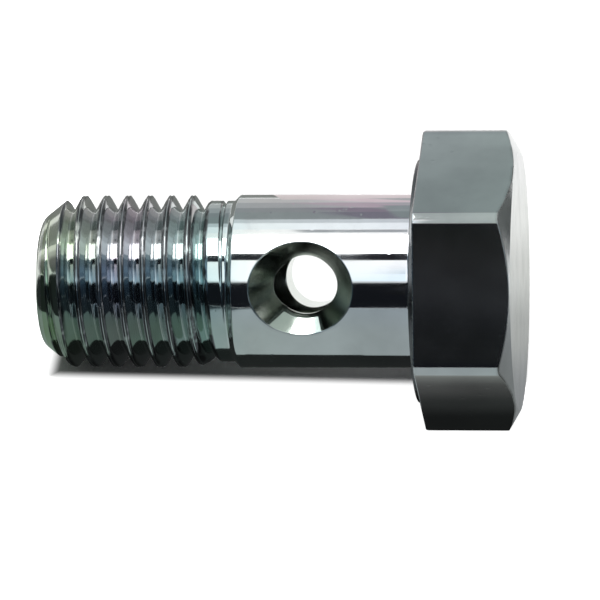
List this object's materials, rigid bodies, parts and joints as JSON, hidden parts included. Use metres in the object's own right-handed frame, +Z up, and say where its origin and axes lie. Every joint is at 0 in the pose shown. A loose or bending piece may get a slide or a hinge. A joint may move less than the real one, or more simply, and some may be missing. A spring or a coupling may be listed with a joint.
{
  "type": "banjo bolt",
  "caption": "Hollow hex-head bolt that clamps a banjo fitting: an axial bore meets a countersunk cross hole in its plain shank, above a rolled thread.",
  "frame": {"origin": "centre of the bounding box, on the bench that the bolt lies on", "axes": "+X from the threaded tip towards the head, +Z up; the bolt's own axis rises by its natural lean towards +X"},
  "size_m": [0.034, 0.0206, 0.0187],
  "materials": {
    "zinc_plated_steel": "bright zinc plate with a clear iridescent passivate"
  },
  "bodies": {
    "root": {"banjo_bolt": "zinc_plated_steel"}
  },
  "joints": []
}
